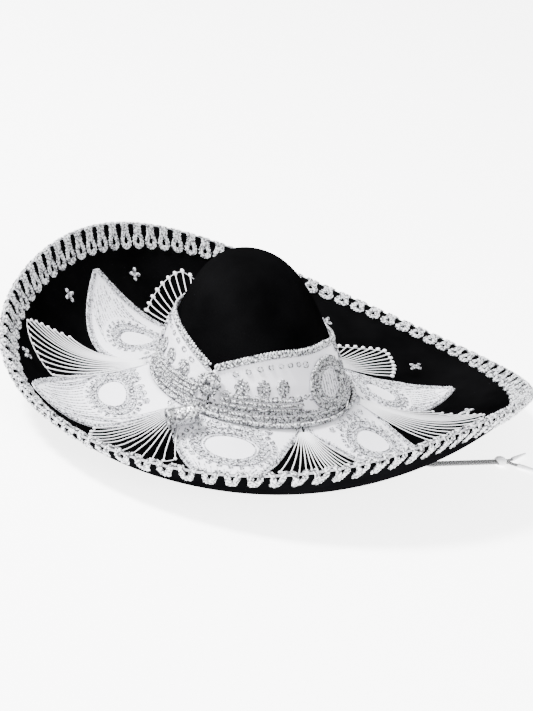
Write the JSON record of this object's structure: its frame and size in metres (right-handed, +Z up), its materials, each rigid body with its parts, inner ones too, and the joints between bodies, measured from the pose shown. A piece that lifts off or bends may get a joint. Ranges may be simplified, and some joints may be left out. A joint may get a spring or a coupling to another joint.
{
  "type": "sombrero",
  "caption": "Wide-brimmed charro hat with upturned oval brim, satin petals, silver braid edge, hatband with front knot and barrel tassel, and chin cords with a slider bead.",
  "frame": {"origin": "on the table, under the middle of the brim's outline", "axes": "+Z up, -Y towards the front of the hat where the band's notch, knot and tassel are, +X towards the wearer's left"},
  "size_m": [0.5021, 0.5898, 0.1562],
  "materials": {
    "black_velvet": "deep black cotton velvet over stiffened felt",
    "brim_lining": "black velvet lining, short pile",
    "lining_cloth": "dark grey woven lining",
    "sweatband_leather": "dull brown leather",
    "edge_wire": "plain round steel wire",
    "silver_braid": "silver metallic gimp braid",
    "white_satin": "white satin with a faint lilac sheen and silver stitching",
    "white_thread": "bright white embroidery thread",
    "silver_thread": "silver metallic embroidery",
    "band_satin": "white satin with silver ornament",
    "silver_cord": "twisted silver cord",
    "silver_rope": "thick twisted silver rope",
    "medallion_silver": "coiled silver cord round white satin",
    "lame_roll": "rolled silver metallic cloth",
    "chin_cord": "black and white flecked round braid",
    "anchor_leather": "black leather tab",
    "cord_tip": "white plastic",
    "slider_bead": "white plastic"
  },
  "bodies": {
    "hat": {"crown_shell": "black_velvet", "brim_top": "black_velvet", "brim_under": "brim_lining", "crown_lining": "lining_cloth", "sweatband": "sweatband_leather", "rim_wire": "edge_wire", "rim_braid": "silver_braid", "band_braid_left": "silver_braid", "band_braid_right": "silver_braid", "petal_1": "white_satin", "petal_2": "white_satin", "petal_3": "white_satin", "petal_4": "white_satin", "petal_5": "white_satin", "petal_6": "white_satin", "thread_fan_1": "white_thread", "thread_fan_2": "white_thread", "thread_fan_3": "white_thread", "thread_fan_4": "white_thread", "thread_fan_5": "white_thread", "thread_fan_6": "white_thread", "flower_01": "silver_thread", "flower_02": "silver_thread", "flower_03": "silver_thread", "flower_04": "silver_thread", "flower_05": "silver_thread", "flower_06": "silver_thread", "flower_07": "silver_thread", "flower_08": "silver_thread", "flower_09": "silver_thread", "flower_10": "silver_thread", "flower_11": "silver_thread", "flower_12": "silver_thread", "hatband_left": "band_satin", "hatband_right": "band_satin", "band_foot_cord": "silver_cord", "rosette_knot": "silver_cord", "band_rope_left": "silver_rope", "band_rope_right": "silver_rope", "medallion_left": "medallion_silver", "medallion_right": "medallion_silver", "chin_cord_left": "chin_cord", "chin_cord_right": "chin_cord", "cord_anchor_left": "anchor_leather", "cord_anchor_right": "anchor_leather", "cord_tip_left": "cord_tip", "cord_tip_right": "cord_tip"},
    "slider": {"slider_bead": "slider_bead"},
    "tassel": {"tassel_barrel": "lame_roll"}
  },
  "joints": [
    {"name": "slider_slide", "type": "slide", "parent": "hat", "child": "slider", "axis": [-0.4695, -0.8829, 0], "range_m": [0, 0.055]},
    {"name": "tassel_lift", "type": "hinge", "parent": "hat", "child": "tassel", "pos_m": [0.01832, -0.14678, 0.04529], "axis": [-0.8019, 0.5973, 0.0094], "range_deg": [0, 40]}
  ]
}
